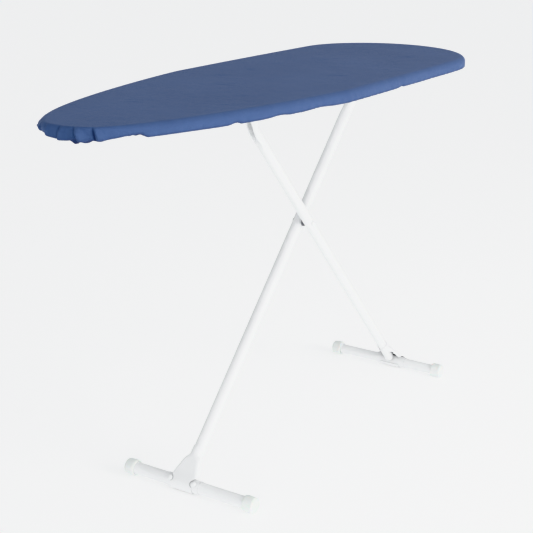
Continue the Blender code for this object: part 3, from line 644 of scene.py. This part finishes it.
def cover_rings(edge):
    """The cover's rows below the flat top, with its pleats, ripples and gathers.

    Gives each row's points, its distance down the cloth, and how deep in the gathers it is, from 0 to 1,
    which sets the painted shade on the cloth.
    """
    billow = edge.noise(0.085, 21)
    fine = edge.ripple(FINE_LENGTH, 31)
    coarse = edge.ripple(COARSE_LENGTH, 41)
    gather = edge.ripple(GATHER_LENGTH, 51)
    at_nose = 1 - smooth_step(np.abs(edge.place), 0.10, 0.20)
    tip = 1 - smooth_step(np.abs(edge.place - TIP_PLACE), 0.02, 0.08)
    bunched = GATHER_DEPTH + GATHER_AT_BEND * np.clip(edge.curve / TIGHT_BEND, 0, 1)
    rings, down, fold_shading = [], [], []
    before = None
    for inset, z, outward, upward, share in cover_section(edge):
        out, along, hidden = pleats_at(edge, share)
        side = float(smooth_step(share, 0.10, 0.60)) * (1 - float(smooth_step(share, 1.0, 1.3)))
        low = float(smooth_step(share, 0.45, 1.0)) * (1 - float(smooth_step(share, 1.0, 1.3)))
        under = float(smooth_step(share, 1.0, 1.7)) * (1 - 0.5 * float(smooth_step(share, 2.0, 2.6)))
        out = out + side * (BILLOW * billow + SIDE_RIPPLE * coarse) * (1 - 0.7 * at_nose)
        out = out + low * (LOW_RIPPLE_FINE * fine + LOW_RIPPLE_COARSE * coarse)
        out = out + TIP_BULGE * tip * math.sin(math.pi * min(share, 1))
        move = under * bunched * (gather - 0.8)
        if 1 <= share < 2:
            move = move + lobes_at(edge, float(np.mean(inset)))
        reach = inset - out - outward * move
        flat = edge.points + edge.inward * reach[:, None] + edge.ahead * along[:, None]
        rings.append(np.column_stack([flat, z + upward * move]))
        plain = np.column_stack([inset, z])
        step = 0 if before is None else float(np.mean(np.linalg.norm(plain - before, axis=1)))
        down.append((down[-1] if down else SIDE_EDGE_R * (math.pi / 2) / ROUND_ROWS) + step)
        # Painted shade mask: darker in the pleats' grooves, towards the hem and all under the board
        fold_shading.append(np.maximum(hidden, float(smooth_step(share, 0.74, 1.10))))
        before = plain
    return rings, down, fold_shading


def top_height(x, y):
    """The ironing surface: the pad's slight unevenness and a few creases in the cloth."""
    height = 0.0004 * noise.noise(Vector((x * 7, y * 7, 0.3)))
    for cx, cy, heading, half_length, half_across, rise in TOP_CREASES:
        a = math.radians(heading)
        dx, dy = x - cx, y - cy
        along = dx * math.cos(a) + dy * math.sin(a)
        bend = 0.12 * along * along / half_length
        across = -dx * math.sin(a) + dy * math.cos(a) + bend
        if abs(along) < 3 * half_length and abs(across) < 4 * half_across:
            fade = math.exp(-(along / half_length) ** 2)
            ridge = math.exp(-(across / half_across) ** 2)
            hollow = math.exp(-((across - 1.7 * half_across) / half_across) ** 2)
            height += rise * fade * (ridge - 0.5 * hollow)
    return height


def top_rings(edge):
    """Rings from the board's spine out to the top edge."""
    radius = edge_radius(edge)
    rim = edge.points + edge.inward * radius[:, None]
    spine = np.column_stack([rim[:, 0] * SPINE_SHARE, np.zeros(len(rim))])
    rings = []
    for i in range(TOP_RINGS + 1):
        share = 1 - (1 - i / TOP_RINGS) ** 1.2
        flat = spine + (rim - spine) * share
        fade = 1 - float(smooth_step(share, 0.93, 1.0))
        z = [TOP_Z + fade * top_height(x, y) for x, y in flat]
        rings.append(np.column_stack([flat, z]))
    return rings


def make_cover():
    edge = Edge(NOSE_SPACING, SIDE_SPACING)
    tops = top_rings(edge)
    sides, down, fold_shading = cover_rings(edge)
    mesh, used = ring_mesh("ironing_cover", tops + sides, "blue_cotton")

    cut = [ring[:, :2] for ring in tops] + [edge.points - edge.inward * reach for reach in down]
    layer = mesh.uv_layers.new(name="cut")
    corner_verts = np.zeros(len(mesh.loops), dtype=np.int32)
    mesh.loops.foreach_get("vertex_index", corner_verts)
    layer.data.foreach_set("uv", np.vstack(cut)[used][corner_verts].ravel())
    # How much painted shade each point gets: none on the top
    depth = np.concatenate([np.zeros(len(edge.place))] * len(tops) + fold_shading)
    mesh.attributes.new("fold_shading", "FLOAT", "POINT").data.foreach_set("value", depth[used])
    return add_object(mesh)


# ------------------------------------------------------------------ felt pad

PAD_SPACING = 0.006
PAD_RINGS = 14
PAD_ROUND = 7
PAD_CLEAR = 0.0003
PAD_UNEVEN = 0.0002
PAD_GRAIN = 0.0002
PAD_LEAST_SIDE = 0.0004


def make_pad():
    """A closed pad of pressed felt with a soft upper edge, where the cover's own pad solid is."""
    edge = Edge(PAD_SPACING, PAD_SPACING)
    steps = len(edge.place)
    uneven = PAD_UNEVEN * edge.noise(0.05, 61)
    radius = edge_radius(edge)
    inside = radius - (COVER_HIGH.z - PAD_HIGH.z) - PAD_CLEAR
    low_z = np.maximum(PAD_LOW.z + PAD_LEAST_SIDE, TOP_Z - radius)
    low_angle = np.arcsin(np.clip((low_z - TOP_Z + radius) / inside, 0, 0.95))
    rows = []
    for i in range(PAD_ROUND + 1):
        a = math.pi / 2 + (low_angle - math.pi / 2) * i / PAD_ROUND
        reach = radius - inside * np.cos(a) + np.abs(uneven)
        height = TOP_Z - radius + inside * np.sin(a) + (PAD_HIGH.z - TOP_Z + radius - inside) * np.sin(a)
        rows.append(np.column_stack([edge.points + edge.inward * reach[:, None], height]))
    lowest = rows[-1].copy()
    lowest[:, 2] = PAD_LOW.z
    rows.append(lowest)
    spine = np.column_stack([edge.points[:, 0] * SPINE_SHARE, np.zeros(steps)])

    def flat_rings(rim, z, depth):
        rings = []
        for i in range(PAD_RINGS):
            flat = spine + (rim[:, :2] - spine) * (i / PAD_RINGS)
            heights = [z + depth * noise.noise(Vector((x * 40, y * 40, z))) for x, y in flat]
            rings.append(np.column_stack([flat, heights]))
        return rings

    rings = flat_rings(rows[0], rows[0][0, 2], PAD_GRAIN) + rows + flat_rings(rows[-1], PAD_LOW.z, 0.0)[::-1]
    mesh, _ = ring_mesh("felt_pad", rings, "grey_felt", closed_below=True)
    return add_object(mesh)


# ------------------------------------------------------------------ assembly

make_camera()
make_studio()
paint_cad_nodes()

pad = make_pad()
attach(pad, "board")
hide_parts("foam_pad")

cover = make_cover()
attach(cover, "board")
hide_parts("fabric_cover")

bpy.context.view_layer.update()
